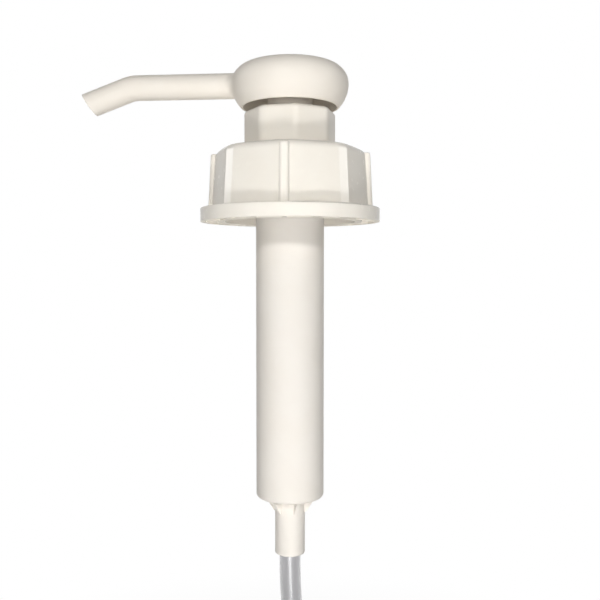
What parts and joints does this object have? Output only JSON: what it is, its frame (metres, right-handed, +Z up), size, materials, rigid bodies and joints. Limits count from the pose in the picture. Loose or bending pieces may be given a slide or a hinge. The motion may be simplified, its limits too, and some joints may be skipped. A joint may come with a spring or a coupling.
{
  "type": "water jug pump",
  "caption": "Hand pump for a water jug: push head with a long bent spout, lock nut, ribbed screw cap on the jug's neck, and a cylinder with spring, valves and dip tube.",
  "frame": {"origin": "centre of the neck gasket's underside, on the plane of the jug's rim", "axes": "+Z up along the pump's axis, towards the push head; the spout points to -X, 5 degrees towards +Y; the picture's camera looks along +Y"},
  "size_m": [0.1474, 0.0838, 0.4072],
  "materials": {
    "head_white": "satin moulded polypropylene, warm white",
    "body_white": "glossy moulded polypropylene, warm white",
    "inner_plastic": "plain natural polypropylene",
    "piston_plastic": "soft natural polyethylene",
    "seal_rubber": "pale soft rubber",
    "spring_steel": "drawn stainless spring wire",
    "ball_glass": "polished glass",
    "tube_clear": "clear flexible tube"
  },
  "bodies": {
    "barrel": {"pump_cylinder": "body_white", "lock_nut": "body_white", "stem_wiper": "seal_rubber", "neck_gasket": "seal_rubber", "ball_cage": "inner_plastic", "dip_tube": "tube_clear", "return_spring": "spring_steel"},
    "closure": {"screw_cap": "body_white"},
    "piston": {"piston_seal": "piston_plastic"},
    "head": {"pump_head": "head_white", "spout": "head_white", "stem": "inner_plastic", "valve_seat": "inner_plastic"},
    "inlet_ball": {"inlet_ball": "ball_glass"},
    "outlet_ball": {"outlet_ball": "ball_glass"}
  },
  "joints": [
    {"name": "cap_turn", "type": "hinge", "parent": "barrel", "child": "closure", "pos_m": [0, 0, 0], "axis": [0, 0, 1], "continuous": true},
    {"name": "plunge", "type": "slide", "parent": "barrel", "child": "piston", "axis": [0, 0, 1], "range_m": [0, 0.06], "deforming": ["return_spring"]},
    {"name": "head_swivel", "type": "hinge", "parent": "piston", "child": "head", "pos_m": [0, 0, 0], "axis": [0, 0, 1], "continuous": true},
    {"name": "inlet_ball_lift", "type": "slide", "parent": "barrel", "child": "inlet_ball", "axis": [0, 0, 1], "range_m": [0, 0.003]},
    {"name": "outlet_ball_lift", "type": "slide", "parent": "head", "child": "outlet_ball", "axis": [0, 0, 1], "range_m": [0, 0.003]}
  ]
}
